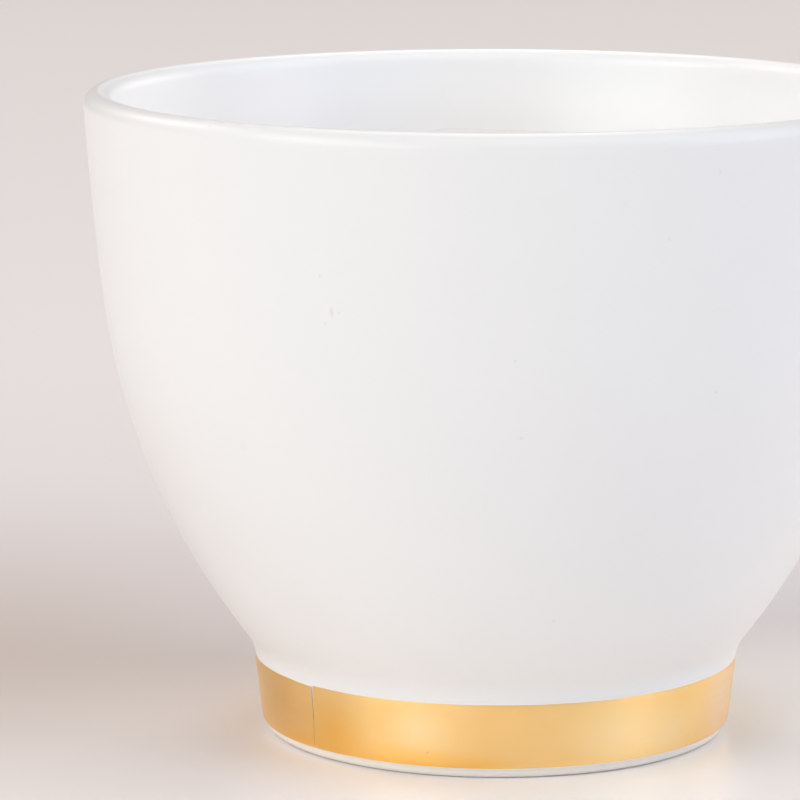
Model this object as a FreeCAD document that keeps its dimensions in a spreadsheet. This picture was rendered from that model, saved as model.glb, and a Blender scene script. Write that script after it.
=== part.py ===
import FreeCAD, Part
import math
import os

import Sketcher

# A porcelain teacup with no handle, standing on a ring foot that carries a gold band.
#
# Millimetres and degrees. The cup stands on the plane z = 0, and its axis is the Z axis. Every outline
# lies in a body's XZ plane, where x is the radius and y is the height, and is turned round the Z axis.
#
# A slope is the angle between a wall and the vertical, on a wall that narrows on its way down.
# An inset moves an outline from the finished surface into the clay, along the normal, so that the clay
# and the coat that covers it share one surface. A gold band has a negative inset: it lies on the glaze.

SIZES = (
    ("cup_height", 64.5, "from the resting plane to the crown of the lip"),
    ("rim_radius", 41.0, "the widest radius, on the lip"),
    ("lip_radius", 1.45, "of the round lip, half of the wall's thickness there"),
    ("lip_slope", 3.95, "of the outside, where the lip meets the wall"),
    ("wall_radius", 338.0, "of the upper wall's long curve"),
    ("bowl_radius", 69.2, "of the lower wall's rounder curve"),
    ("waist_radius", 4.9, "of the hollow curve between the bowl and its foot"),
    ("foot_height", 7.55, "of the foot's straight outer wall"),
    ("foot_radius", 23.39, "of the foot's outer wall, carried down to the resting plane"),
    ("foot_slope", 6.5, "of the foot's outer wall"),
    ("inner_lip_slope", 4.4, "of the inside, where the lip meets the wall"),
    ("inner_wall_radius", 332.0, "of the inside's long curve"),
    ("inner_shoulder_slope", 7.7, "where the long curve meets the rounder one"),
    ("inner_bowl_radius", 62.0, "of the inside's rounder curve"),
    ("corner_radius", 20.0, "between the inside wall and the floor"),
    ("floor_radius", 100.0, "of the dished floor"),
    ("floor_height", 9.0, "of the middle of the floor"),
    ("ring_height", 4.8, "of the foot ring, up to its joint with the bowl"),
    ("rim_rounding", 0.8, "on both edges of the foot ring's rim"),
    ("well_radius", 19.4, "of the hollow under the cup, at the resting plane"),
    ("well_slope", 4.0, "of the hollow's wall, which narrows on its way up"),
    ("well_height", 5.3, "of the middle of the hollow's domed ceiling"),
    ("well_cove", 1.0, "radius where the glaze pools round the hollow's ceiling"),
    ("glaze", 0.3, "thickness of the glaze on the outside and inside"),
    ("glaze_end", 0.95, "height where the outer glaze stops, clear of the rim"),
    ("well_glaze", 0.25, "thickness of the glaze in the hollow"),
    ("well_glaze_end", 1.2, "height where the hollow's glaze stops"),
    ("gold", 0.12, "thickness of the gold band"),
    ("gold_bottom", 1.1, "height of the gold band's lower edge"),
    ("seam_gap", 0.4, "between the two ends of the gold band"),
    ("seam_direction", 222.0, "where the seam is, counted from +X towards +Y"),
)

UP = FreeCAD.Vector(0, 0, 1)

# How a sketch counts its places: its origin, its upright axis, and the ends and centre of a curve.
ORIGIN = (-1, 1)
UPRIGHT_AXIS = -2
START = 1
END = 2
CENTRE = 3


def make_sheet(doc):
    """Writes the driving dimensions, one row each: what it is, and its value under its alias."""
    sheet = doc.addObject("Spreadsheet::Sheet", "sizes")
    for row, (alias, value, meaning) in enumerate(SIZES, start=1):
        sheet.set(f"A{row}", f"{alias}: {meaning}")
        sheet.set(f"B{row}", str(value))
        sheet.setAlias(f"B{row}", alias)
    doc.recompute()
    return sheet


def number(expression):
    """What an expression of the sheet's sizes comes to now."""
    value = sheet.evalExpression(expression)
    return float(getattr(value, "Value", value))


def size(alias):
    return number(f"sizes.{alias}")


def across(slope):
    """The unit vector out of a wall of this slope."""
    angle = math.radians(slope)
    return FreeCAD.Vector(math.cos(angle), -math.sin(angle), 0)


def slope_towards(point, centre):
    """The slope of a wall whose normal runs from the centre to the point."""
    normal = point - centre
    return math.degrees(math.atan2(-normal.y, normal.x))


def tangent_centre(first, first_distance, second, second_distance):
    """The centre that lies at both distances from two others. Of the two, the outer one is the cup's."""
    between = second - first
    span = between.Length
    along = (first_distance**2 - second_distance**2 + span**2) / (2 * span)
    aside = math.sqrt(first_distance**2 - along**2)
    forward = between / span
    sideways = FreeCAD.Vector(-forward.y, forward.x, 0)
    choices = [first + forward * along + sideways * side for side in (aside, -aside)]
    return max(choices, key=lambda centre: centre.x)


def new_body(doc, name):
    body = doc.addObject("PartDesign::Body", name)
    body.Label = name
    return body


class Outline:
    """A closed outline in a body's XZ plane, with its dimensions tied to the sheet."""

    def __init__(self, body, name):
        self.sketch = body.newObject("Sketcher::SketchObject", name)
        planes = [feature for feature in body.Origin.OriginFeatures if feature.Role == "XZ_Plane"]
        self.sketch.AttachmentSupport = [(planes[0], "")]
        self.sketch.MapMode = "FlatFace"

    def tie(self, kind, places, expression):
        """Adds a dimension whose value follows an expression of the sheet's sizes."""
        value = number(expression)
        if kind == "Angle":
            value = math.radians(value)
        index = self.sketch.addConstraint(Sketcher.Constraint(kind, *places, value))
        self.sketch.setExpression(f"Constraints[{index}]", expression)

    def tie_height(self, place, expression):
        self.tie("DistanceY", (*ORIGIN, *place), expression)

    def tie_radius(self, place, expression):
        """Ties how far a point lies from the cup's axis."""
        self.tie("DistanceX", (*ORIGIN, *place), expression)

    def join(self, first, second):
        self.sketch.addConstraint(Sketcher.Constraint("Coincident", *first, *second))

    def smooth(self, first, second):
        """Joins two ends and makes them tangent."""
        self.sketch.addConstraint(Sketcher.Constraint("Tangent", *first, *second))

    def on_axis(self, place):
        self.sketch.addConstraint(Sketcher.Constraint("PointOnObject", *place, UPRIGHT_AXIS))

    def line(self, first, last):
        """Draws a line, and returns its start and end."""
        index = self.sketch.addGeometry(Part.LineSegment(first, last))
        return (index, START), (index, END)

    def close(self, first, second):
        """Draws the line between two ends that are already in place."""
        points = [self.sketch.getPoint(*place) for place in (first, second)]
        start, end = self.line(*points)
        self.join(first, start)
        self.join(end, second)

    def arc(self, centre, radius, slopes, hollow=False):
        """Draws an arc of a wall, which runs from one slope to another as it is followed down the cup.

        The wall bulges away from its centre, or, if hollow, curves round it.
        Returns the arc's index, its upper end and its lower end.
        """
        angles = [math.radians((180 if hollow else 0) - slope) for slope in slopes]
        circle = Part.Circle(centre, UP, radius)
        index = self.sketch.addGeometry(Part.ArcOfCircle(circle, min(angles), max(angles)))
        upper, lower = (START, END) if angles[0] < angles[1] else (END, START)
        return index, (index, upper), (index, lower)

    def wall_arc(self, above, centre, radius, slopes, hollow=False):
        """Draws an arc whose radius follows the sheet, and makes it tangent to the piece above it."""
        index, upper, lower = self.arc(centre, number(radius), slopes, hollow)
        self.smooth(above, upper)
        self.tie("Radius", (index,), radius)
        return index, lower

    def lip_arc(self, inset, slope, hollow, crown=None):
        """Draws half of the round lip, from its crown down to a wall's slope.

        Where the other half is there already, its crown is given and this half starts from it.
        """
        radius = f"sizes.lip_radius - {inset}"
        slopes = (90 if hollow else -90, number(slope))
        index, upper, lower = self.arc(lip_centre(), number(radius), slopes, hollow)
        if crown:
            self.join(upper, crown)
            self.join((index, CENTRE), (crown[0], CENTRE))
        else:
            self.tie_radius((index, CENTRE), "sizes.rim_radius - sizes.lip_radius")
            self.tie_height((index, CENTRE), "sizes.cup_height - sizes.lip_radius")
            self.tie("Radius", (index,), radius)
            self.sketch.addConstraint(Sketcher.Constraint("Vertical", *upper, index, CENTRE))
        turn = f"90 - {slope}" if hollow else f"90 + {slope}"
        self.tie("Angle", (index,), turn)
        return upper, lower

    def polygon(self, corners):
        """Draws a closed outline of straight lines. Each corner is two expressions, radius and height."""
        points = [FreeCAD.Vector(number(radius), number(height), 0) for radius, height in corners]
        lines = [self.line(first, last) for first, last in zip(points, points[1:] + points[:1])]
        for (start, _), (_, end_before), (radius, height) in zip(lines, lines[-1:] + lines[:-1], corners):
            self.join(end_before, start)
            self.tie_radius(start, radius)
            self.tie_height(start, height)


def lip_centre():
    radius = size("lip_radius")
    return FreeCAD.Vector(size("rim_radius") - radius, size("cup_height") - radius, 0)


def foot_wall(height, inset):
    """The radius of the foot's outer wall at a height, as an expression."""
    slope = "sizes.foot_slope"
    return f"sizes.foot_radius + {height} * tan({slope}) - ({inset}) / cos({slope})"


def well_wall(height, inset):
    """The radius of the wall of the hollow under the cup at a height, as an expression."""
    slope = "sizes.well_slope"
    return f"sizes.well_radius - {height} * tan({slope}) - ({inset}) / cos({slope})"


def draw_outside(outline, inset, end_height):
    """Draws the outside from the lip's crown down to a height on the foot's wall.

    Returns the crown and the lower end.
    """
    lip_slope, foot_slope = size("lip_slope"), size("foot_slope")
    wall_radius, bowl_radius, waist_radius = size("wall_radius"), size("bowl_radius"), size("waist_radius")
    wall = lip_centre() - across(lip_slope) * (wall_radius - size("lip_radius"))
    foot_top = FreeCAD.Vector(number(foot_wall("sizes.foot_height", "0")), size("foot_height"), 0)
    waist = foot_top + across(foot_slope) * waist_radius
    bowl = tangent_centre(wall, wall_radius - bowl_radius, waist, bowl_radius + waist_radius)
    shoulder_slope = slope_towards(bowl, wall)
    waist_slope = slope_towards(waist, bowl)

    crown, below = outline.lip_arc(inset, "sizes.lip_slope", hollow=False)
    _, below = outline.wall_arc(below, wall, f"sizes.wall_radius - {inset}", (lip_slope, shoulder_slope))
    _, below = outline.wall_arc(below, bowl, f"sizes.bowl_radius - {inset}", (shoulder_slope, waist_slope))
    _, below = outline.wall_arc(
        below, waist, f"sizes.waist_radius + {inset}", (waist_slope, foot_slope), hollow=True
    )
    top_height = f"sizes.foot_height + ({inset}) * sin(sizes.foot_slope)"
    top = FreeCAD.Vector(number(foot_wall(top_height, inset)), number(top_height), 0)
    end = FreeCAD.Vector(number(foot_wall(end_height, inset)), number(end_height), 0)
    line_bottom, line_top = outline.line(end, top)
    outline.smooth(below, line_top)
    outline.tie("Angle", (line_bottom[0],), "90 - sizes.foot_slope")
    outline.tie_height(line_top, top_height)
    outline.tie_height(line_bottom, end_height)
    outline.tie_radius(line_bottom, foot_wall(end_height, inset))
    return crown, line_bottom


def draw_inside(outline, inset, crown=None):
    """Draws the inside from the lip's crown down to the middle of the floor.

    Returns the crown and the middle of the floor.
    """
    lip_slope, shoulder_slope = size("inner_lip_slope"), size("inner_shoulder_slope")
    wall_radius, bowl_radius = size("inner_wall_radius"), size("inner_bowl_radius")
    corner_radius, floor_radius = size("corner_radius"), size("floor_radius")
    wall = lip_centre() - across(lip_slope) * (wall_radius + size("lip_radius"))
    bowl = wall + across(shoulder_slope) * (wall_radius - bowl_radius)
    floor = FreeCAD.Vector(0, size("floor_height") + floor_radius, 0)
    corner = tangent_centre(bowl, bowl_radius - corner_radius, floor, floor_radius - corner_radius)
    corner_slope = slope_towards(corner, bowl)
    floor_slope = slope_towards(corner, floor)

    crown, below = outline.lip_arc(inset, "sizes.inner_lip_slope", hollow=True, crown=crown)
    arc, below = outline.wall_arc(
        below, wall, f"sizes.inner_wall_radius + {inset}", (lip_slope, shoulder_slope)
    )
    outline.tie("Angle", (arc,), "sizes.inner_shoulder_slope - sizes.inner_lip_slope")
    _, below = outline.wall_arc(
        below, bowl, f"sizes.inner_bowl_radius + {inset}", (shoulder_slope, corner_slope)
    )
    _, below = outline.wall_arc(
        below, corner, f"sizes.corner_radius + {inset}", (corner_slope, floor_slope)
    )
    arc, middle = outline.wall_arc(below, floor, f"sizes.floor_radius + {inset}", (floor_slope, 90))
    outline.on_axis((arc, CENTRE))
    outline.on_axis(middle)
    outline.tie_height(middle, f"sizes.floor_height - {inset}")
    return crown, middle


def draw_ceiling(outline, height, edge_radius, edge_height):
    """Draws the domed ceiling of the hollow under the cup, from its middle out to its edge.

    Returns the arc's index, its middle and its edge.
    """
    rise = number(height) - edge_height
    radius = (edge_radius**2 + rise**2) / (2 * rise)
    centre = FreeCAD.Vector(0, number(height) - radius, 0)
    edge_slope = -math.degrees(math.acos(edge_radius / radius))
    index, middle, edge = outline.arc(centre, radius, (-90, edge_slope))
    outline.on_axis(middle)
    outline.tie_height(middle, height)
    return index, middle, edge


def revolve(body, outline, angle=None):
    """Turns an outline round the cup's axis, all the way unless an angle is given."""
    feature = body.newObject("PartDesign::Revolution", f"{body.Name}_turned")
    feature.Profile = outline.sketch
    feature.ReferenceAxis = (outline.sketch, ["V_Axis"])
    feature.Angle = 360
    if angle:
        feature.setExpression("Angle", angle)
    outline.sketch.Visibility = False
    body.Tip = feature
    body.Document.recompute()
    return feature


def circle_edges(feature, wanted):
    """The names of a feature's full circles whose centre height and radius pass a test."""
    names = []
    for index, edge in enumerate(feature.Shape.Edges, start=1):
        if edge.Degenerated or not isinstance(edge.Curve, Part.Circle) or not edge.isClosed():
            continue
        if wanted(edge.Curve.Center.z, edge.Curve.Radius):
            names.append(f"Edge{index}")
    return names


def fillet(body, feature, edges, radius):
    rounded = body.newObject("PartDesign::Fillet", f"{body.Name}_rounded")
    rounded.Base = (feature, edges)
    rounded.setExpression("Radius", radius)
    body.Tip = rounded
    return rounded


def make_bowl_body(doc):
    """The fired clay of the bowl: its wall, and the base that the foot ring is joined to."""
    body = new_body(doc, "bowl_body")
    outline = Outline(body, "bowl_outline")
    glaze = "sizes.glaze"
    ring_height = "sizes.ring_height"
    crown, outer_end = draw_outside(outline, glaze, ring_height)
    _, floor = draw_inside(outline, glaze, crown)
    edge_radius = number(well_wall(ring_height, "0"))
    arc, ceiling, edge = draw_ceiling(outline, "sizes.well_height", edge_radius, size("ring_height"))
    outline.on_axis((arc, CENTRE))
    outline.tie_radius(edge, well_wall(ring_height, "0"))
    outline.tie_height(edge, ring_height)
    outline.close(outer_end, edge)
    outline.close(ceiling, floor)
    revolve(body, outline)
    return body


def make_foot_ring(doc):
    """The clay ring that the cup stands on, with bare rounded edges on its rim."""
    body = new_body(doc, "foot_ring")
    outline = Outline(body, "foot_ring_outline")
    glaze = "sizes.glaze"
    top = "sizes.ring_height"
    outline.polygon(
        [
            (well_wall("0", "0"), "0"),
            (foot_wall("0", glaze), "0"),
            (foot_wall(top, glaze), top),
            (well_wall(top, "0"), top),
        ]
    )
    ring = revolve(body, outline)
    fillet(body, ring, circle_edges(ring, lambda height, radius: abs(height) < 0.01), "sizes.rim_rounding")
    return body


def make_outer_glaze(doc):
    """The coat on the outside, from the lip's crown to just above the rim of the foot."""
    body = new_body(doc, "outer_glaze")
    outline = Outline(body, "outer_glaze_outline")
    end_height = "sizes.glaze_end"
    crown, end = draw_outside(outline, "0", end_height)
    clay_crown, clay_end = draw_outside(outline, "sizes.glaze", end_height)
    outline.close(crown, clay_crown)
    outline.close(end, clay_end)
    revolve(body, outline)
    return body


def make_inner_glaze(doc):
    """The coat that lines the inside, from the lip's crown across the floor."""
    body = new_body(doc, "inner_glaze")
    outline = Outline(body, "inner_glaze_outline")
    crown, floor = draw_inside(outline, "0")
    clay_crown, clay_floor = draw_inside(outline, "sizes.glaze")
    outline.close(crown, clay_crown)
    outline.close(floor, clay_floor)
    revolve(body, outline)
    return body


def make_foot_well_glaze(doc):
    """The coat in the hollow under the cup, pooled in the corner round its ceiling."""
    body = new_body(doc, "foot_well_glaze")
    outline = Outline(body, "foot_well_outline")
    coat = "sizes.well_glaze"
    end_height = "sizes.well_glaze_end"
    top_height = "sizes.ring_height"
    edge_radius = number(well_wall(top_height, "0"))
    clay_arc, clay_ceiling, clay_edge = draw_ceiling(
        outline, "sizes.well_height", edge_radius, size("ring_height")
    )
    outline.on_axis((clay_arc, CENTRE))
    outline.tie_radius(clay_edge, well_wall(top_height, "0"))
    outline.tie_height(clay_edge, top_height)

    inner_height = size("ring_height") - size("well_glaze")
    inner_radius = number(well_wall(str(inner_height), coat))
    arc, ceiling, edge = draw_ceiling(outline, f"sizes.well_height - {coat}", inner_radius, inner_height)
    outline.join((arc, CENTRE), (clay_arc, CENTRE))
    end = FreeCAD.Vector(number(well_wall(end_height, coat)), number(end_height), 0)
    line_end, line_top = outline.line(end, FreeCAD.Vector(inner_radius, inner_height, 0))
    outline.join(line_top, edge)
    outline.tie("Angle", (line_end[0],), "90 + sizes.well_slope")
    outline.tie_radius(line_end, well_wall(end_height, coat))
    outline.tie_height(line_end, end_height)

    clay_end = FreeCAD.Vector(number(well_wall(end_height, "0")), number(end_height), 0)
    clay_top = FreeCAD.Vector(edge_radius, size("ring_height"), 0)
    clay_line_end, clay_line_top = outline.line(clay_end, clay_top)
    outline.join(clay_line_top, clay_edge)
    outline.tie_radius(clay_line_end, well_wall(end_height, "0"))
    outline.tie_height(clay_line_end, end_height)
    outline.close(line_end, clay_line_end)
    outline.close(ceiling, clay_ceiling)
    coat_feature = revolve(body, outline)

    def in_the_corner(height, radius):
        return height > size("ring_height") / 2 and radius < edge_radius - size("well_glaze") / 2

    fillet(body, coat_feature, circle_edges(coat_feature, in_the_corner), "sizes.well_cove")
    return body


def make_gold_band(doc):
    """The gold strip round the foot. It is not quite closed: its two ends leave a seam."""
    body = new_body(doc, "gold_band")
    outline = Outline(body, "gold_band_outline")
    bottom = "sizes.gold_bottom"
    top = "sizes.foot_height"
    outside = "-sizes.gold"
    outline.polygon(
        [
            (foot_wall(bottom, "0"), bottom),
            (foot_wall(bottom, outside), bottom),
            (foot_wall(top, outside), top),
            (foot_wall(top, "0"), top),
        ]
    )
    gap_angle = "sizes.seam_gap / sizes.foot_radius * 180 / pi"
    revolve(body, outline, angle=f"360 - {gap_angle}")
    body.Placement = FreeCAD.Placement(FreeCAD.Vector(), FreeCAD.Rotation(UP, 1))
    body.setExpression("Placement.Rotation.Angle", f"sizes.seam_direction + {gap_angle} / 2")
    return body


def check(doc, bodies):
    """Stops if any object of the document failed, or if a piece has no single sound solid."""
    for item in doc.Objects:
        if {"Invalid", "Error"} & set(item.State):
            raise RuntimeError(f"{item.Label} failed: {item.State}")
        if item.TypeId == "Sketcher::SketchObject" and not item.FullyConstrained:
            raise RuntimeError(f"{item.Label} is not fully constrained")
    for body in bodies:
        shape = body.Shape
        if shape.isNull() or not shape.isValid() or len(shape.Solids) != 1:
            raise RuntimeError(f"{body.Label} is not one valid solid")


os.makedirs("parts", exist_ok=True)
doc = FreeCAD.newDocument("teacup")
sheet = make_sheet(doc)
makers = (
    make_bowl_body,
    make_foot_ring,
    make_outer_glaze,
    make_inner_glaze,
    make_foot_well_glaze,
    make_gold_band,
)
bodies = [make(doc) for make in makers]
doc.recompute()
check(doc, bodies)
for body in bodies:
    body.Shape.exportStep(os.path.join("parts", f"{body.Label}.step"))
    box = body.Shape.BoundBox
    print(f"{body.Label}: {body.Shape.Volume / 1000:.2f} cm3, z {box.ZMin:.2f} to {box.ZMax:.2f}")
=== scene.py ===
import math

import bpy
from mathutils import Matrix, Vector, noise


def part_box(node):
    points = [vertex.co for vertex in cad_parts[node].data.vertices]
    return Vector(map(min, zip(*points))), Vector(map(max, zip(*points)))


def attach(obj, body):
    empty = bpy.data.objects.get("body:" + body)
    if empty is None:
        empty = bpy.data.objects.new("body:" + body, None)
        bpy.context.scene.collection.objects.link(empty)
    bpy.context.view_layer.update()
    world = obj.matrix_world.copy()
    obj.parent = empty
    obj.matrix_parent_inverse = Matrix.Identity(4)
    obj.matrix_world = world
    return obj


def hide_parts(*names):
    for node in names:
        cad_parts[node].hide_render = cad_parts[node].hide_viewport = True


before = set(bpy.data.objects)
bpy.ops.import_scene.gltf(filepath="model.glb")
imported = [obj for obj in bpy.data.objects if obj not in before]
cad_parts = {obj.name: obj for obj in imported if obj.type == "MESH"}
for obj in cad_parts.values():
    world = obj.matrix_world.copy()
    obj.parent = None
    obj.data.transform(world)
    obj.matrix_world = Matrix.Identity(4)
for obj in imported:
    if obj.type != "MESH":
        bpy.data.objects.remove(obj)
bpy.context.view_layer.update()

# A porcelain teacup on a ring foot with a gold band, on a pale floor in soft light.
#
# Outlines are in millimetres, as (radius, height) pairs, and are turned round the Z axis into metres.
# A slope is the angle between a wall and the vertical, on a wall that narrows on its way down.
# An inset moves an outline from the finished surface into the clay. The gold has a negative one.
# An azimuth is an angle round the cup, from +X towards +Y. The front of the cup is at 270 degrees.

MM = 0.001

# ---------------------------------------------------------------------------------------------
# Sizes: the places come from the CAD frame, and the curves are the ones that the frame was drawn with
# ---------------------------------------------------------------------------------------------


def low(node):
    """The lowest corner of a CAD node's box, in millimetres."""
    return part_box(node)[0] / MM


def high(node):
    """The highest corner of a CAD node's box, in millimetres."""
    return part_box(node)[1] / MM


CUP_HEIGHT = high("outer_glaze").z
RIM_RADIUS = high("outer_glaze").x
GLAZE = CUP_HEIGHT - high("bowl_body").z
GLAZE_END = low("outer_glaze").z
FOOT_HEIGHT = high("gold_band").z
GOLD_BOTTOM = low("gold_band").z
RING_HEIGHT = high("foot_ring").z
FLOOR_HEIGHT = low("inner_glaze").z + GLAZE
WELL_HEIGHT = high("foot_well_glaze").z
WELL_GLAZE_END = low("foot_well_glaze").z

# The outside: the round lip, the long wall, the bowl, the hollow waist and the foot's wall.
LIP_RADIUS = 1.45
LIP_SLOPE = 3.95
WALL_RADIUS = 338.0
BOWL_RADIUS = 69.2
WAIST_RADIUS = 4.9
FOOT_RADIUS = 23.39
FOOT_SLOPE = 6.5

# The inside: its wall, its bowl, the corner and the dished floor.
INNER_LIP_SLOPE = 4.4
INNER_WALL_RADIUS = 332.0
INNER_SHOULDER_SLOPE = 7.7
INNER_BOWL_RADIUS = 62.0
CORNER_RADIUS = 20.0
FLOOR_RADIUS = 100.0

# The foot's rim, and the hollow under the cup with its coat of glaze.
RIM_ROUNDING = 0.8
WELL_RADIUS = 19.4
WELL_SLOPE = 4.0
WELL_GLAZE = 0.25
WELL_COVE = 1.0

# The gold strip: how far it stands out of the wall and reaches into it, how much of the first is left
# on the last two rows at each edge, and how its top edge waves.
GOLD = 0.05
GOLD_BED = 0.02
GOLD_EDGE = [0.4, 0.8]
TOP_WAVE = 0.03
TOP_WAVE_SCALE = 5

# The seam between the strip's ends. The lean is the angle between its top and its bottom. The strip's
# second end dips towards the seam, and both ends are ragged. Reaches are in degrees.
SEAM_AZIMUTH = 222.0
SEAM_TOP_GAP = 0.17
SEAM_BOTTOM_GAP = 0.07
SEAM_LEAN = 1.2
SEAM_LEAN_REACH = 30.0
SEAM_DIP = 0.14
SEAM_DIP_REACH = 10.0
RAGGED = 0.05
RAGGED_SCALE = 2.5
RAGGED_APART = 9

# The unevenness of the hand-finished wall: the scale of two noises, and how far each moves the wall off
# its true circle. The height that counts as much as one radius comes next. Nearer the axis than the
# steady radius, the unevenness fades out.
BROAD_SCALE = 1.7
BROAD_WAVE = 0.07
FINE_SCALE = 5.0
FINE_WAVE = 0.02
FINE_OFFSET = Vector((11, 3, 7))
WAVE_HEIGHT = 30.0
STEADY_RADIUS = 10.0

# How finely the meshes are divided: sides in a turn, spacing along an outline, and an arc's steps.
SEGMENTS = 320
HIDDEN_SEGMENTS = 160
FINE = 0.55
COARSE = 2.5
RIM_SPACING = 0.12
CROWN_STEP = 0.6
LONGEST_STEP = 8.0
FEWEST_STEPS = 3
GOLD_COLUMNS = 900
GOLD_ROWS = 28

# Points of an outline nearer than this are one point, and one nearer the axis than this is on it.
SAME_PLACE = 1e-4
ON_AXIS = 1e-6


# ---------------------------------------------------------------------------------------------
# Outlines
# ---------------------------------------------------------------------------------------------


def across(slope):
    """The unit vector out of a wall of this slope, as (radius, height)."""
    angle = math.radians(slope)
    return Vector((math.cos(angle), -math.sin(angle)))


def slope_towards(point, centre):
    """The slope at which an arc round a centre faces a point."""
    normal = point - centre
    return math.degrees(math.atan2(-normal.y, normal.x))


def tangent_centre(first, first_distance, second, second_distance):
    """The point at these distances from two centres. Of the two such points, it is the outer one."""
    between = second - first
    span = between.length
    along = (first_distance**2 - second_distance**2 + span**2) / (2 * span)
    aside = math.sqrt(first_distance**2 - along**2)
    forward = between / span
    sideways = Vector((-forward.y, forward.x))
    choices = [first + forward * along + sideways * side for side in (aside, -aside)]
    return max(choices, key=lambda centre: centre.x)


def arc(centre, radius, slopes, spacing, hollow=False):
    """Points along an arc, from one slope to the other. A hollow arc's centre is on its outward side."""
    start, end = slopes
    turn = abs(math.radians(end - start))
    by_length = math.ceil(turn * radius / spacing)
    by_angle = math.ceil(turn / math.radians(LONGEST_STEP))
    steps = max(FEWEST_STEPS, by_length, by_angle)
    side = -radius if hollow else radius
    return [centre + across(start + (end - start) * i / steps) * side for i in range(steps + 1)]


def straight(first, last, spacing):
    """Points along a straight line, both ends included."""
    steps = max(1, math.ceil((last - first).length / spacing))
    return [first.lerp(last, i / steps) for i in range(steps + 1)]


def chain(*runs):
    """Joins runs of points, leaving out the points where one run starts on the last one's end."""
    points = []
    for run in runs:
        for point in run:
            if not points or (point - points[-1]).length > SAME_PLACE:
                points.append(point)
    return points


LIP = Vector((RIM_RADIUS - LIP_RADIUS, CUP_HEIGHT - LIP_RADIUS))


def crown(inset):
    """The point on top of the lip."""
    return LIP + across(-90) * (LIP_RADIUS - inset)


def foot_wall(height, inset=0.0):
    """The point at a height on the foot's outer wall."""
    slope = math.radians(FOOT_SLOPE)
    return Vector((FOOT_RADIUS + height * math.tan(slope) - inset / math.cos(slope), height))


def well_wall(height, inset=0.0):
    """The point at a height on the wall of the hollow under the cup."""
    slope = math.radians(WELL_SLOPE)
    return Vector((WELL_RADIUS - height * math.tan(slope) - inset / math.cos(slope), height))


def outside(inset, end_height, spacing):
    """The outside, from the lip's crown down to a height on the foot's wall."""
    wall = LIP - across(LIP_SLOPE) * (WALL_RADIUS - LIP_RADIUS)
    foot_top = foot_wall(FOOT_HEIGHT)
    waist = foot_top + across(FOOT_SLOPE) * WAIST_RADIUS
    bowl = tangent_centre(wall, WALL_RADIUS - BOWL_RADIUS, waist, BOWL_RADIUS + WAIST_RADIUS)
    shoulder_slope = slope_towards(bowl, wall)
    waist_slope = slope_towards(waist, bowl)
    waist_arc = arc(waist, WAIST_RADIUS + inset, (waist_slope, FOOT_SLOPE), spacing, hollow=True)
    return chain(
        [crown(inset)],
        arc(LIP, LIP_RADIUS - inset, (-90 + CROWN_STEP, LIP_SLOPE), spacing),
        arc(wall, WALL_RADIUS - inset, (LIP_SLOPE, shoulder_slope), spacing),
        arc(bowl, BOWL_RADIUS - inset, (shoulder_slope, waist_slope), spacing),
        waist_arc,
        straight(waist_arc[-1], foot_wall(end_height, inset), spacing),
    )


def inside(inset, spacing):
    """The inside, from the lip's crown down to the middle of the floor."""
    wall = LIP - across(INNER_LIP_SLOPE) * (INNER_WALL_RADIUS + LIP_RADIUS)
    bowl = wall + across(INNER_SHOULDER_SLOPE) * (INNER_WALL_RADIUS - INNER_BOWL_RADIUS)
    floor = Vector((0, FLOOR_HEIGHT + FLOOR_RADIUS))
    corner = tangent_centre(bowl, INNER_BOWL_RADIUS - CORNER_RADIUS, floor, FLOOR_RADIUS - CORNER_RADIUS)
    corner_slope = slope_towards(corner, bowl)
    floor_slope = slope_towards(corner, floor)
    return chain(
        [crown(inset)],
        arc(LIP, LIP_RADIUS - inset, (90 - CROWN_STEP, INNER_LIP_SLOPE), spacing, hollow=True),
        arc(wall, INNER_WALL_RADIUS + inset, (INNER_LIP_SLOPE, INNER_SHOULDER_SLOPE), spacing),
        arc(bowl, INNER_BOWL_RADIUS + inset, (INNER_SHOULDER_SLOPE, corner_slope), spacing),
        arc(corner, CORNER_RADIUS + inset, (corner_slope, floor_slope), spacing),
        arc(floor, FLOOR_RADIUS + inset, (floor_slope, 90), spacing),
    )


def ceiling(height, edge, spacing):
    """The domed ceiling of the hollow under the cup, from its middle out to its edge."""
    rise = height - edge.y
    radius = (edge.x**2 + rise**2) / (2 * rise)
    edge_slope = -math.degrees(math.acos(edge.x / radius))
    return arc(Vector((0, height - radius)), radius, (-90, edge_slope), spacing)


def in_space(point, azimuth):
    """A point of an outline as a place in metres, at an azimuth in degrees."""
    angle = math.radians(azimuth)
    return Vector((point.x * math.cos(angle), point.x * math.sin(angle), point.y)) * MM


def on_foot(azimuth, height):
    """The place on the foot's outer wall at an azimuth and a height in millimetres."""
    return in_space(foot_wall(height), azimuth)


def on_wall(azimuth, height):
    """The place on the cup's outside at an azimuth and a height in millimetres."""
    nearest = min(outside(0, GLAZE_END, FINE / 4), key=lambda point: abs(point.y - height))
    return in_space(nearest, azimuth)


# ---------------------------------------------------------------------------------------------
# Meshes
# ---------------------------------------------------------------------------------------------


def unevenness(angle, height):
    """How far the wall stands off its true circle, in millimetres."""
    around = Vector((math.cos(angle), math.sin(angle), height / WAVE_HEIGHT))
    broad = noise.noise(around * BROAD_SCALE) * BROAD_WAVE
    fine = noise.noise(around * FINE_SCALE + FINE_OFFSET) * FINE_WAVE
    return broad + fine


def placed(point, angle):
    """A point of an outline as a vertex in metres, at an angle in radians, on the uneven wall."""
    radius = point.x + unevenness(angle, point.y) * min(1, point.x / STEADY_RADIUS)
    return (radius * math.cos(angle) * MM, radius * math.sin(angle) * MM, point.y * MM)


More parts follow.
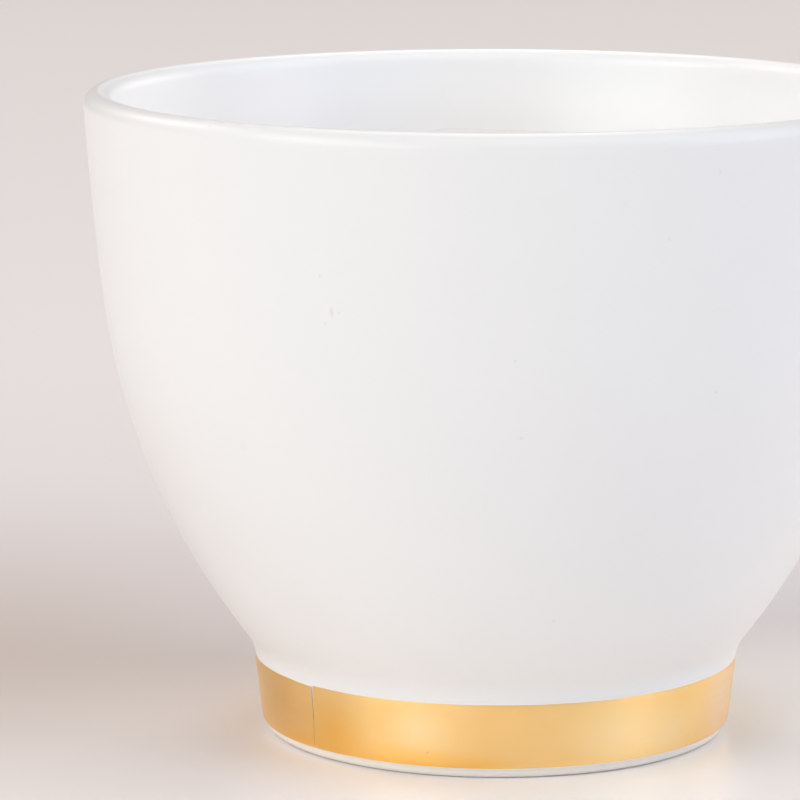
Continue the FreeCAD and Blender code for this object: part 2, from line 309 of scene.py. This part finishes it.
def finish_mesh(name, vertices, faces, material, sharp_angle=35):
    """A smooth-shaded object. Its edges are sharp where they turn by more than the sharp angle."""
    mesh = bpy.data.meshes.new(name)
    mesh.from_pydata(vertices, [], faces)
    mesh.validate()
    mesh.polygons.foreach_set("use_smooth", [True] * len(mesh.polygons))
    mesh.set_sharp_from_angle(angle=math.radians(sharp_angle))
    mesh.materials.append(material)
    piece = bpy.data.objects.new(name, mesh)
    bpy.context.scene.collection.objects.link(piece)
    return piece


def turned(name, outline, material, segments=SEGMENTS):
    """Turns a closed outline round the axis. Its points run clockwise as seen in (radius, height)."""
    vertices, rings = [], []
    for point in outline:
        if point.x < ON_AXIS:
            rings.append([len(vertices)] * segments)
            vertices.append((0, 0, point.y * MM))
            continue
        rings.append(list(range(len(vertices), len(vertices) + segments)))
        vertices += [placed(point, 2 * math.pi * i / segments) for i in range(segments)]
    faces = []
    for ring, below in zip(rings, rings[1:] + rings[:1]):
        for i in range(segments):
            j = (i + 1) % segments
            corners = [ring[i], below[i], below[j], ring[j]]
            corners = [c for k, c in enumerate(corners) if c != corners[k - 1]]
            if len(corners) > 2:
                faces.append(corners)
    return finish_mesh(name, vertices, faces, material)


def on_cup(piece, node):
    """Fixes a piece to the cup, and hides the CAD node that it takes the place of."""
    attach(piece, "root")
    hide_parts(node)


# ---------------------------------------------------------------------------------------------
# Materials
# ---------------------------------------------------------------------------------------------


class Shader:
    """A node material in the making, with a Principled shader."""

    def __init__(self, name, **inputs):
        self.material = bpy.data.materials.new(name)
        self.material.use_nodes = True
        self.nodes = self.material.node_tree.nodes
        self.links = self.material.node_tree.links
        self.surface = self.nodes["Principled BSDF"]
        for socket, value in inputs.items():
            self.surface.inputs[socket.replace("_", " ")].default_value = value
        self.place = self.add("ShaderNodeTexCoord").outputs["Object"]

    def add(self, kind, inputs=None, **settings):
        """A node. Each of its inputs is a number or colour, or a socket that is linked to it."""
        node = self.nodes.new(kind)
        for key, value in settings.items():
            setattr(node, key, value)
        for key, value in (inputs or {}).items():
            if isinstance(value, bpy.types.NodeSocket):
                self.links.new(value, node.inputs[key])
            else:
                node.inputs[key].default_value = value
        return node

    def noise(self, scale, detail=2.0, roughness=0.5, stretch=(1, 1, 1)):
        """Noise with this many features per metre."""
        place = self.add("ShaderNodeMapping", {"Vector": self.place, "Scale": stretch}).outputs[0]
        inputs = {"Vector": place, "Scale": scale, "Detail": detail, "Roughness": roughness}
        return self.add("ShaderNodeTexNoise", inputs).outputs["Fac"]

    def ramp(self, value, low_in, high_in, low_out=0.0, high_out=1.0):
        """A smooth change from one output to the other, while the value goes through its stretch."""
        inputs = {
            "Value": value,
            "From Min": low_in,
            "From Max": high_in,
            "To Min": low_out,
            "To Max": high_out,
        }
        return self.add("ShaderNodeMapRange", inputs, interpolation_type="SMOOTHSTEP").outputs["Result"]

    def mix(self, amount, first, second):
        """The first colour where the amount is nought, and the second where it is one."""
        inputs = {0: amount, 6: first, 7: second}
        return self.add("ShaderNodeMix", inputs, data_type="RGBA").outputs[2]

    def math(self, operation, first, second):
        """One operation on two values."""
        return self.add("ShaderNodeMath", {0: first, 1: second}, operation=operation).outputs[0]

    def spot(self, point, size, softness=1.0):
        """A soft spot round a point: one in its middle, and nought from its size outwards, in metres."""
        scale = tuple(1 / width for width in size)
        offset = self.add("ShaderNodeVectorMath", {0: self.place, 1: point}, operation="SUBTRACT")
        scaled = self.add("ShaderNodeVectorMath", {0: offset.outputs[0], 1: scale}, operation="MULTIPLY")
        length = self.add("ShaderNodeVectorMath", {0: scaled.outputs[0]}, operation="LENGTH")
        distance = length.outputs["Value"]
        return self.ramp(distance, 1 - softness, 1, 1, 0)

    def marks(self, places, softness=1.0):
        """Round spots on the cup's outside, from rows of azimuth, height and width in millimetres."""
        total = 0.0
        for azimuth, height, width in places:
            size = (width * MM / 2,) * 3
            total = self.math("ADD", self.spot(on_wall(azimuth, height), size, softness), total)
        return total

    def tint(self, tone, amount, most, target):
        """A tone moved towards a target colour, by the most where the amount is one."""
        return self.mix(self.math("MULTIPLY", amount, most), tone, target)

    def drive(self, socket, value):
        """Links a value to one of the Principled shader's sockets."""
        self.links.new(value, self.surface.inputs[socket])

    def bump(self, *layers):
        """Bump from layers of (height in metres of the full range, value)."""
        normal = None
        for depth, value in layers:
            inputs = {"Height": value, "Distance": depth, "Strength": 1.0}
            if normal:
                inputs["Normal"] = normal
            normal = self.add("ShaderNodeBump", inputs).outputs["Normal"]
        self.drive("Normal", normal)


def colour(red, green, blue):
    """An sRGB colour, 0 to 255, as linear light."""
    parts = [part / 255 for part in (red, green, blue)]
    linear = [part / 12.92 if part < 0.04045 else ((part + 0.055) / 1.055) ** 2.4 for part in parts]
    return (*linear, 1.0)


# The noises of the materials, in features per metre, the stretch that a noise mostly stays within, and
# how deep bump is, in metres.
BROAD_CLOUDS = 40
PATCHES = 90
SATIN_GRAIN = 1500
GLOSS_GRAIN = 1200
CLAY_GRAIN = 2500
GOLD_STROKES = 300
STROKE_STRETCH = (1, 1, 5)
NOISE_RANGE = (0.2, 0.8)
MIDDLE_OF_NOISE = (0.3, 0.7)
FAINT_BUMP = 0.000002
SATIN_BUMP = 0.000004
PIT_BUMP = 0.000008
GRAIN_BUMP = 0.00002

# The outer glaze, and the marks on it: where each one is, as azimuth and height, and its width. A share
# is how much of its own colour a mark shows.
OUTER_WHITE = colour(244, 242, 240)
OUTER_CLOUD = colour(243, 241, 239)
OUTER_ROUGHNESS = (0.4, 0.43)
PINHOLES = (
    (246.5, 46.5, 0.4),
    (248.5, 47.5, 0.4),
    (273.5, 36.0, 0.5),
    (272.5, 43.5, 0.4),
    (246.0, 51.0, 0.4),
    (302.0, 39.5, 0.45),
    (293.0, 54.5, 0.45),
    (300.0, 60.5, 0.45),
    (280.5, 17.0, 0.5),
    (229.0, 64.0, 0.5),
)
PINHOLE_COLOUR = colour(150, 140, 132)
PINHOLE_SHARE = 0.16
DIMPLES = (
    (230.0, 33.5, 1.4),
    (286.5, 58.0, 1.2),
)
DIMPLE_COLOUR = colour(226, 222, 220)
DIMPLE_SHARE = 0.1
DIMPLE_SOFTNESS = 0.6
RUST_STREAK = (247.5, 47.5)
RUST_STREAK_SIZE = (0.32 * MM, 0.32 * MM, 0.8 * MM)
RUST_COLOUR = colour(196, 138, 104)
RUST_SHARE = 0.2

# The inner glaze. It is satin at the lip, and takes this depth to reach its full gloss.
INNER_WHITE = colour(252, 250, 248)
INNER_CLOUD = colour(251, 249, 247)
LIP_ROUGHNESS = 0.42
DEEP_ROUGHNESS = 0.2
PATCH_ROUGHNESS = 0.01
POLISH_DEPTH = 14.0

CLAY_PALE = colour(251, 245, 237)
CLAY_DARK = colour(244, 237, 228)

# The gold's tones, and where its clouds and its painted highlights are: azimuth, height, reach along the
# band and reach up it.
GOLD_DEEP = colour(255, 200, 104)
GOLD_MIDDLE = colour(255, 212, 138)
GOLD_DRIFT = colour(255, 216, 148)
GOLD_PAINTED_HIGHLIGHT = colour(255, 226, 170)
GOLD_DULL = colour(234, 190, 118)
GOLD_THIN = colour(244, 214, 180)
# Painted highlights: pale patches of lighter gold, where the band catches the light.
PAINTED_GOLD_HIGHLIGHTS = (
    (252, 4.7, 4.5, 3.6),
    (300, 3.6, 8.0, 5.0),
    (316, 3.0, 6.0, 4.0),
)
DEEP_CLOUDS = (
    (214, 1.0, 7.0, 2.4),
    (229, 2.6, 5.5, 6.0),
    (246, 1.0, 9.0, 2.6),
    (262, 0.9, 8.0, 2.2),
)
DULL_CLOUDS = ((208, 5.0, 8.0, 6.0),)
THIN_CLOUDS = ((340, 4.0, 8.0, 7.0),)
CLOUD_SHARE = 0.9
GOLD_ROUGHNESS = (0.3, 0.4)

# The pale stain at the top of the seam, and one dark fleck.
STAIN_SIZE = (0.35 * MM, 0.35 * MM, 4.5 * MM)
STAIN_SHARE = 0.8
FLECK = (254, 2.5)
FLECK_SIZE = (0.2 * MM, 0.2 * MM, 0.2 * MM)
FLECK_COLOUR = colour(160, 100, 60)
FLECK_SHARE = 0.4


def satin_glaze():
    """The outside: a satin white, with a few pinholes, two shallow dimples and one rusty streak."""
    shader = Shader("satin_glaze", Coat_Weight=0.35, Coat_Roughness=0.32)
    cloud = shader.ramp(shader.noise(BROAD_CLOUDS), *NOISE_RANGE)
    holes = shader.marks(PINHOLES)
    streak = shader.spot(on_wall(*RUST_STREAK), RUST_STREAK_SIZE)
    hollows = shader.marks(DIMPLES, DIMPLE_SOFTNESS)
    tone = shader.mix(cloud, OUTER_WHITE, OUTER_CLOUD)
    tone = shader.tint(tone, holes, PINHOLE_SHARE, PINHOLE_COLOUR)
    tone = shader.tint(tone, streak, RUST_SHARE, RUST_COLOUR)
    tone = shader.tint(tone, hollows, DIMPLE_SHARE, DIMPLE_COLOUR)
    shader.drive("Base Color", tone)
    shader.drive("Roughness", shader.ramp(shader.noise(PATCHES), *NOISE_RANGE, *OUTER_ROUGHNESS))
    pits = shader.math("SUBTRACT", 1.0, shader.math("ADD", holes, hollows))
    shader.bump((SATIN_BUMP, shader.noise(SATIN_GRAIN, detail=1)), (PIT_BUMP, pits))
    return shader.material


def gloss_glaze():
    """The inside and the hollow underneath: glossy, but satin like the outside near the lip."""
    shader = Shader("gloss_glaze", IOR=1.75)
    cloud = shader.ramp(shader.noise(BROAD_CLOUDS), *NOISE_RANGE)
    shader.drive("Base Color", shader.mix(cloud, INNER_WHITE, INNER_CLOUD))
    height = shader.add("ShaderNodeSeparateXYZ", {0: shader.place}).outputs["Z"]
    full_gloss = (CUP_HEIGHT - POLISH_DEPTH) * MM
    polish = shader.ramp(height, full_gloss, CUP_HEIGHT * MM, DEEP_ROUGHNESS, LIP_ROUGHNESS)
    patches = shader.ramp(shader.noise(PATCHES), *NOISE_RANGE, -PATCH_ROUGHNESS, PATCH_ROUGHNESS)
    shader.drive("Roughness", shader.math("ADD", polish, patches))
    shader.bump((FAINT_BUMP, shader.noise(GLOSS_GRAIN, detail=1)))
    return shader.material


def bare_clay():
    """The unglazed clay: matt, with a fine grain."""
    shader = Shader("bare_clay", Roughness=0.75)
    grain = shader.noise(CLAY_GRAIN, detail=3, roughness=0.7)
    shader.drive("Base Color", shader.mix(grain, CLAY_PALE, CLAY_DARK))
    shader.bump((GRAIN_BUMP, grain))
    return shader.material


def fired_gold():
    """Fired gold: a satin metal with painted highlights in pale patches, deep, dull and thin clouds,
    stained where its ends meet.
    """
    shader = Shader("fired_gold", Metallic=1.0)
    drift = shader.ramp(shader.noise(PATCHES, detail=4, roughness=0.6), *MIDDLE_OF_NOISE)
    tone = shader.mix(drift, GOLD_MIDDLE, GOLD_DRIFT)
    # The pale patches are painted highlights.
    for clouds, target in (
        (PAINTED_GOLD_HIGHLIGHTS, GOLD_PAINTED_HIGHLIGHT),
        (DEEP_CLOUDS, GOLD_DEEP),
        (DULL_CLOUDS, GOLD_DULL),
        (THIN_CLOUDS, GOLD_THIN),
    ):
        for azimuth, height, along, up in clouds:
            reach = (along * MM, along * MM, up * MM)
            tone = shader.tint(tone, shader.spot(on_foot(azimuth, height), reach), CLOUD_SHARE, target)
    stain = shader.spot(on_foot(SEAM_AZIMUTH, FOOT_HEIGHT), STAIN_SIZE)
    tone = shader.tint(tone, stain, STAIN_SHARE, GOLD_THIN)
    fleck = shader.spot(on_foot(*FLECK), FLECK_SIZE)
    tone = shader.tint(tone, fleck, FLECK_SHARE, FLECK_COLOUR)
    shader.drive("Base Color", tone)
    strokes = shader.noise(GOLD_STROKES, stretch=STROKE_STRETCH)
    shader.drive("Roughness", shader.ramp(strokes, *MIDDLE_OF_NOISE, *GOLD_ROUGHNESS))
    shader.bump((FAINT_BUMP, strokes))
    return shader.material


# ---------------------------------------------------------------------------------------------
# The pieces of the cup
# ---------------------------------------------------------------------------------------------


def outer_glaze_coat(material):
    """The coat on the outside. It ends in a round bead just above the rim of the foot."""
    outer = outside(0, GLAZE_END + GLAZE / 2, FINE)
    clay = outside(GLAZE, GLAZE_END + GLAZE / 2, COARSE)
    bead = arc((outer[-1] + clay[-1]) / 2, (outer[-1] - clay[-1]).length / 2, (0, 180), FINE)
    return turned("outer_glaze_coat", chain(outer, bead[1:-1], clay[::-1]), material)


def inner_glaze_coat(material):
    """The coat that lines the inside. It meets the outer one on the lip's crown."""
    return turned("inner_glaze_coat", chain(inside(GLAZE, COARSE), inside(0, FINE)[::-1]), material)


def bowl_clay(material):
    """The clay between the coats. It shows nowhere, so it is coarse."""
    edge = well_wall(RING_HEIGHT)
    base = chain([edge], ceiling(WELL_HEIGHT, edge, COARSE)[::-1])
    outline = chain(outside(GLAZE, RING_HEIGHT, COARSE), base, inside(GLAZE, COARSE)[:0:-1])
    return turned("bowl_clay", outline, material, HIDDEN_SEGMENTS)


def foot_ring_clay(material):
    """The ring that the cup stands on. Both edges of its rim are round."""
    outer = foot_wall(RIM_ROUNDING, GLAZE) - Vector((RIM_ROUNDING / across(FOOT_SLOPE).x, 0))
    inner = well_wall(RIM_ROUNDING) + Vector((RIM_ROUNDING / across(WELL_SLOPE).x, 0))
    outer_edge = arc(outer, RIM_ROUNDING, (FOOT_SLOPE, 90), RIM_SPACING)
    inner_edge = arc(inner, RIM_ROUNDING, (90, 180 - WELL_SLOPE), RIM_SPACING)
    outline = chain(
        straight(foot_wall(RING_HEIGHT, GLAZE), outer_edge[0], FINE),
        outer_edge,
        straight(outer_edge[-1], inner_edge[0], FINE),
        inner_edge,
        straight(inner_edge[-1], well_wall(RING_HEIGHT), FINE),
    )
    return turned("foot_ring_clay", outline, material)


def foot_well_coat(material):
    """The coat in the hollow under the cup. It pools in the corner round the ceiling."""
    corner = well_wall(RING_HEIGHT - WELL_GLAZE, WELL_GLAZE)
    cove = arc(corner - Vector((WELL_COVE, WELL_COVE)), WELL_COVE, (-90, 0), RIM_SPACING)
    glazed = chain(
        ceiling(WELL_HEIGHT - WELL_GLAZE, cove[0], FINE),
        cove,
        straight(cove[-1], well_wall(WELL_GLAZE_END, WELL_GLAZE), FINE),
    )
    clay = chain(ceiling(WELL_HEIGHT, well_wall(RING_HEIGHT), COARSE), [well_wall(WELL_GLAZE_END)])
    return turned("foot_well_coat", chain(clay, glazed[::-1]), material)


def gold_top(turn):
    """The height of the strip's top edge, at a turn in degrees from the strip's first end."""
    around = Vector((math.cos(math.radians(turn)), math.sin(math.radians(turn)), 0))
    wave = noise.noise(around * TOP_WAVE_SCALE) * TOP_WAVE
    dip = SEAM_DIP * max(0, 1 - (360 - turn) / SEAM_DIP_REACH)
    return FOOT_HEIGHT + wave - dip


def seam_shift(share, lift, height):
    """How far the gap and the lean of the seam move a point of the strip, in degrees."""
    gap = SEAM_BOTTOM_GAP + (SEAM_TOP_GAP - SEAM_BOTTOM_GAP) * lift**2
    ragged = noise.noise(Vector((height * RAGGED_SCALE, round(share) * RAGGED_APART, 0))) * RAGGED
    drawn_back = math.degrees((gap / 2 + ragged) / FOOT_RADIUS)
    from_seam = 360 * min(share, 1 - share)
    lean = SEAM_LEAN * (lift - 0.5) * max(0, 1 - from_seam / SEAM_LEAN_REACH)
    return drawn_back * (1 - 2 * share) + lean


def gold_band(material):
    """The gold strip. It runs once round the foot, and its ragged ends leave a fine, leaning seam."""
    lifts = [row / GOLD_ROWS for row in range(GOLD_ROWS + 1)]
    full_rows = len(lifts) - 2 * len(GOLD_EDGE)
    depths = GOLD_EDGE + [1.0] * full_rows + GOLD_EDGE[::-1]
    vertices, faces = [], []
    for column in range(GOLD_COLUMNS + 1):
        share = column / GOLD_COLUMNS
        top = gold_top(360 * share)
        ring = []
        for lift, depth in zip(lifts, depths):
            height = GOLD_BOTTOM + (top - GOLD_BOTTOM) * lift
            azimuth = SEAM_AZIMUTH + 360 * share + seam_shift(share, lift, height)
            ring.append((math.radians(azimuth), height, depth))
        for angle, height, depth in ring:
            vertices.append(placed(foot_wall(height, -GOLD * depth), angle))
        for angle, height, depth in ring[::-1]:
            vertices.append(placed(foot_wall(height, GOLD_BED), angle))
    count = 2 * len(lifts)
    for column in range(GOLD_COLUMNS):
        first, second = column * count, (column + 1) * count
        for row in range(count):
            after = (row + 1) % count
            faces.append([first + row, second + row, second + after, first + after])
    faces.append(list(range(count)))
    faces.append([GOLD_COLUMNS * count + row for row in range(count)][::-1])
    return finish_mesh("gold_leaf", vertices, faces, material, sharp_angle=60)


# ---------------------------------------------------------------------------------------------
# Stage, light and camera
# ---------------------------------------------------------------------------------------------

# The floor, in metres: its half width, its tones, the stretches of Y over which the front turns to
# painted shade and the painted shade to the paler back, and the painted shadow, a dark patch on the
# left.
FLOOR_HALF_WIDTH = 6.0
FLOOR_FRONT = colour(252, 246, 242)
# Painted shade: the tone just behind the cup and the tone of the patch on its left are darker to stand
# in for the cup's shade on the floor.
FLOOR_PAINTED_SHADE = colour(238, 232, 232)
FLOOR_PAINTED_SHADOW = colour(221, 208, 201)
FLOOR_BACK = colour(250, 243, 240)
TO_PAINTED_SHADE = (0.01, 0.06)
TO_BACK = (0.055, 0.25)
PAINTED_SHADOW_PATCH = (-0.064, 0.04, 0)
PAINTED_SHADOW_SIZE = (0.085, 0.105, 1)

# The lights' distance from the point on the axis that they face, and that point's height.
LIGHT_DISTANCE = 2.5
AIM_HEIGHT = 0.03

# Each light: name, azimuth, elevation, width and height in degrees, strength and tint.
LIGHTS = (
    ("left_window", -41, 15, 42, 20, 12.0, (0.87, 0.97, 1.0)),
    ("left_upper", -60, 35, 25, 20, 15.0, (1.0, 0.99, 0.99)),
    ("left_side", -120, 35, 25, 20, 13.5, (1.0, 0.88, 0.91)),
    ("back", 180, 50, 25, 20, 12.0, (1.0, 1.0, 0.96)),
    ("back_right", 130, 15, 44, 20, 8.1, (1.0, 0.93, 0.79)),
    ("right_side", 90, 40, 25, 30, 7.7, (0.65, 0.82, 1.0)),
    ("right_far", 72, 15, 26, 20, 13.0, (0.86, 0.86, 1.0)),
    ("right_window", 44, 7, 34, 12, 4.8, (0.05, 0.52, 1.0)),
    ("above", 30, 66, 60, 50, 3.6, (1.0, 0.92, 0.86)),
)
ROOM_TINT = (1.0, 0.985, 0.98, 1)
ROOM_STRENGTH = 0.1

# The camera: its distance in front of the cup's axis and its height in metres, its pitch and turn, its
# lens and sensor in millimetres, and the nearest thing it sees.
CAMERA_DISTANCE = 0.45376
CAMERA_HEIGHT = 0.11221
CAMERA_PITCH = math.radians(9.895)
CAMERA_TURN = math.radians(1.221)
LENS = 206.87
SENSOR_WIDTH = 36
NEAREST_SEEN = 0.01


def make_floor():
    """A pale floor, with painted shade just behind the cup, and a darker painted shadow in a soft patch
    to its left.
    """
    shader = Shader("pale_floor", Roughness=0.42)
    back = shader.add("ShaderNodeSeparateXYZ", {0: shader.place}).outputs["Y"]
    # Painted shade: the floor darkens in a band behind the cup, and more in a soft patch to its left,
    # where shade falls.
    tone = shader.mix(shader.ramp(back, *TO_PAINTED_SHADE), FLOOR_FRONT, FLOOR_PAINTED_SHADE)
    tone = shader.mix(shader.spot(PAINTED_SHADOW_PATCH, PAINTED_SHADOW_SIZE), tone, FLOOR_PAINTED_SHADOW)
    tone = shader.mix(shader.ramp(back, *TO_BACK), tone, FLOOR_BACK)
    shader.drive("Base Color", tone)
    half = FLOOR_HALF_WIDTH
    vertices = [(-half, -half, 0), (half, -half, 0), (half, half, 0), (-half, half, 0)]
    floor = finish_mesh("floor", vertices, [[0, 1, 2, 3]], shader.material)


def soft_light(name, azimuth, elevation, width, height, strength, tint):
    """A large soft light that faces the cup. Azimuth 0 is the camera's side, and grows to the right."""
    turn, rise = math.radians(azimuth), math.radians(elevation)
    outward = Vector((math.sin(turn) * math.cos(rise), -math.cos(turn) * math.cos(rise), math.sin(rise)))
    lamp = bpy.data.lights.new(name, "AREA")
    lamp.shape = "RECTANGLE"
    lamp.size = 2 * LIGHT_DISTANCE * math.tan(math.radians(width) / 2)
    lamp.size_y = 2 * LIGHT_DISTANCE * math.tan(math.radians(height) / 2)
    lamp.energy = strength * lamp.size * lamp.size_y
    lamp.color = tint
    light = bpy.data.objects.new(name, lamp)
    light.location = Vector((0, 0, AIM_HEIGHT)) + outward * LIGHT_DISTANCE
    light.rotation_euler = (-outward).to_track_quat("-Z", "Y").to_euler()
    bpy.context.scene.collection.objects.link(light)


def make_lights():
    """The soft lights round the cup, and the faint even light of the room."""
    world = bpy.data.worlds.new("soft_room")
    world.use_nodes = True
    background = world.node_tree.nodes["Background"]
    background.inputs["Color"].default_value = ROOM_TINT
    background.inputs["Strength"].default_value = ROOM_STRENGTH
    bpy.context.scene.world = world
    for light in LIGHTS:
        soft_light(*light)


def make_camera():
    """The camera, in front of the cup. It looks down by its pitch, and to the left by its turn."""
    data = bpy.data.cameras.new("camera")
    data.lens = LENS
    data.sensor_width = SENSOR_WIDTH
    data.clip_start = NEAREST_SEEN
    camera = bpy.data.objects.new("camera", data)
    camera.location = (0, -CAMERA_DISTANCE, CAMERA_HEIGHT)
    camera.rotation_euler = (math.pi / 2 - CAMERA_PITCH, 0, CAMERA_TURN)
    bpy.context.scene.collection.objects.link(camera)
    bpy.context.scene.camera = camera


satin = satin_glaze()
gloss = gloss_glaze()
clay = bare_clay()
gold = fired_gold()
on_cup(outer_glaze_coat(satin), "outer_glaze")
on_cup(inner_glaze_coat(gloss), "inner_glaze")
on_cup(bowl_clay(clay), "bowl_body")
on_cup(foot_ring_clay(clay), "foot_ring")
on_cup(foot_well_coat(gloss), "foot_well_glaze")
on_cup(gold_band(gold), "gold_band")
make_floor()
make_lights()
make_camera()
bpy.context.scene.view_settings.view_transform = "Standard"
